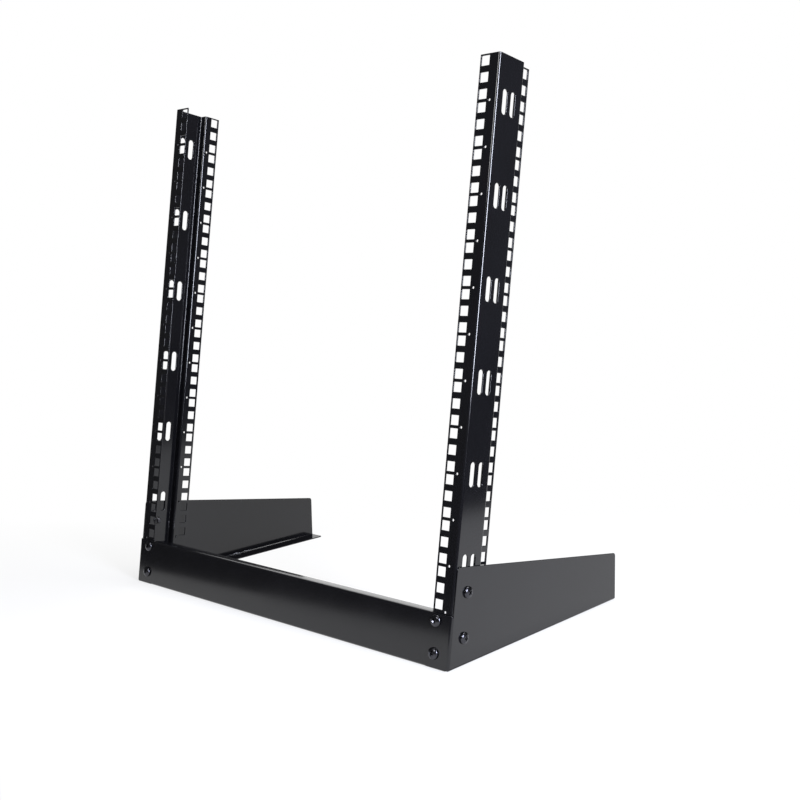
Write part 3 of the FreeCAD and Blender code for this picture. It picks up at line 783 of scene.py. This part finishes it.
def white_sweep(stage):
    """Paper that lies under the rack and rises behind it, with the studio grey beside it: painted
    shade for floor that the lamps leave unlit.

    Its object stands under the camera and faces the way the camera does: X to the right, Y away.
    """
    wide, near, rack_away, bend, far, high, steps = 5.0, -2.5, 1.2, 3.6, 4.6, 3.6, 10
    profile = [(near, 0.0), (0.0, 0.0), (rack_away, 0.0)]
    radius = far - bend
    for step in range(steps + 1):
        turn = QUARTER * step / steps
        profile.append((bend + radius * math.sin(turn), radius * (1 - math.cos(turn))))
    profile.append((far, high))
    points = [(x, y, z) for y, z in profile for x in (-wide, wide)]
    faces = [(row, row + 1, row + 3, row + 2) for row in range(0, len(points) - 2, 2)]
    mesh = bpy.data.meshes.new("white_sweep")
    mesh.from_pydata(points, [], faces)
    mesh.shade_smooth()
    sweep = bpy.data.objects.new("white_sweep", mesh)
    sweep.location = (stage.camera_place[0], stage.camera_place[1], 0)
    off_axis = math.atan(stage.camera_shift[0] * SENSOR / stage.focal_length)
    sweep.rotation_euler = (0, 0, stage.camera_turn[2] - off_axis)
    bpy.context.scene.collection.objects.link(sweep)

    material, tree, where = new_material("matt_paper")
    place = add_node(tree, "ShaderNodeSeparateXYZ", {"Vector": where}).outputs
    # The paper widens with the distance and its edge is soft. Beyond the edge the floor is the studio
    # grey, painted shade for floor the lamps leave unlit.
    away = maths(tree, "MAXIMUM", place["Y"], NEAREST_AWAY)
    aside = maths(tree, "DIVIDE", place["X"], away)
    right, left, before = [add_node(tree, "ShaderNodeMapRange", {
        "Value": source, "From Min": start, "From Max": end},
        interpolation_type="SMOOTHSTEP").outputs["Result"] for source, (start, end) in (
            (aside, PAPER_RIGHT), (aside, PAPER_LEFT), (place["Y"], PAPER_NEAR))]
    beside = maths(tree, "MAXIMUM", maths(tree, "MAXIMUM", left, right), before)
    # The tones go from the white paper to the studio grey beyond its edge, a painted shade that the
    # coat reflects.
    paper_and_painted_shade = [add_node(tree, "ShaderNodeMix", {
        "Factor": beside, "A": [*white, 1], "B": [*stage.studio, 1]},
        data_type="RGBA").outputs["Result"] for white in (stage.matt, stage.paper)]
    matt = add_node(tree, "ShaderNodeBsdfDiffuse", {"Color": paper_and_painted_shade[0]})
    glow = add_node(tree, "ShaderNodeEmission", {"Color": paper_and_painted_shade[1]})
    # The shadow is kept near the rack, about 1.2 m from the camera, and fades out further off
    farness = add_node(tree, "ShaderNodeMapRange", {
        "Value": place["Y"], "From Min": SHADOW_FADE[0], "From Max": SHADOW_FADE[1],
        "To Min": EVEN_WHITE, "To Max": 1.0})
    share = maths(tree, "MULTIPLY", background_rays(tree), farness.outputs["Result"])
    mixed = add_node(tree, "ShaderNodeMixShader", {
        0: share, 1: matt.outputs[0], 2: glow.outputs[0]})
    add_node(tree, "ShaderNodeOutputMaterial", {"Surface": mixed.outputs[0]})
    mesh.materials.append(material)


def studio_world(stage):
    """Plain grey room round the stage."""
    world = bpy.data.worlds.new("studio")
    world.use_nodes = True
    tree = world.node_tree
    tree.nodes.clear()
    room = add_node(tree, "ShaderNodeBackground", {"Color": [*stage.room, 1]})
    add_node(tree, "ShaderNodeOutputWorld", {"Surface": room.outputs[0]})
    bpy.context.scene.world = world


class RACK_OT_stage(bpy.types.Operator):
    """Set the floor, the lamps and the camera"""
    bl_idname = "rack.make_stage"
    bl_label = "Stage"

    def execute(self, context):
        stage = context.scene.rack_stage
        white_sweep(stage)
        studio_world(stage)
        area_light("key_box", **KEY_BOX, power=stage.key_power, tint=stage.cool)
        area_light("front_box", **FRONT_BOX, power=stage.front_power)
        area_light("top_box", **TOP_BOX, power=stage.top_power)
        camera = bpy.data.cameras.new("camera")
        camera.sensor_width = SENSOR
        camera.lens = stage.focal_length
        camera.shift_x, camera.shift_y = stage.camera_shift
        view = bpy.data.objects.new("camera", camera)
        view.location = stage.camera_place
        view.rotation_euler = stage.camera_turn
        context.scene.collection.objects.link(view)
        context.scene.camera = view
        context.scene.view_settings.view_transform = "Standard"
        return {"FINISHED"}


class RACK_PT_panel(bpy.types.Panel):
    """Buttons that build the rack"""
    bl_label = "Open frame rack"
    bl_space_type = "VIEW_3D"
    bl_region_type = "UI"
    bl_category = "Rack"

    def draw(self, context):
        for operator in OPERATORS:
            self.layout.operator(operator.bl_idname)


OPERATORS = (RACK_OT_stage, RACK_OT_uprights, RACK_OT_front_beam, RACK_OT_side_plates, RACK_OT_screws)
GROUPS = {"rack_uprights": UprightSettings, "rack_feet": FootSettings, "rack_screws": ScrewSettings,
          "rack_finishes": FinishSettings, "rack_stage": StageSettings}


def register():
    for name, group in GROUPS.items():
        bpy.utils.register_class(group)
        setattr(bpy.types.Scene, name, PointerProperty(type=group))
    for kind in (*OPERATORS, RACK_PT_panel):
        bpy.utils.register_class(kind)


def unregister():
    for kind in (RACK_PT_panel, *OPERATORS):
        bpy.utils.unregister_class(kind)
    for name, group in GROUPS.items():
        delattr(bpy.types.Scene, name)
        bpy.utils.unregister_class(group)


def main():
    """Build everything in order."""
    register()
    bpy.ops.rack.make_stage()
    bpy.ops.rack.make_uprights()
    bpy.ops.rack.make_front_beam()
    bpy.ops.rack.make_side_plates()
    bpy.ops.rack.make_screws()


if __name__ == "__main__":
    main()
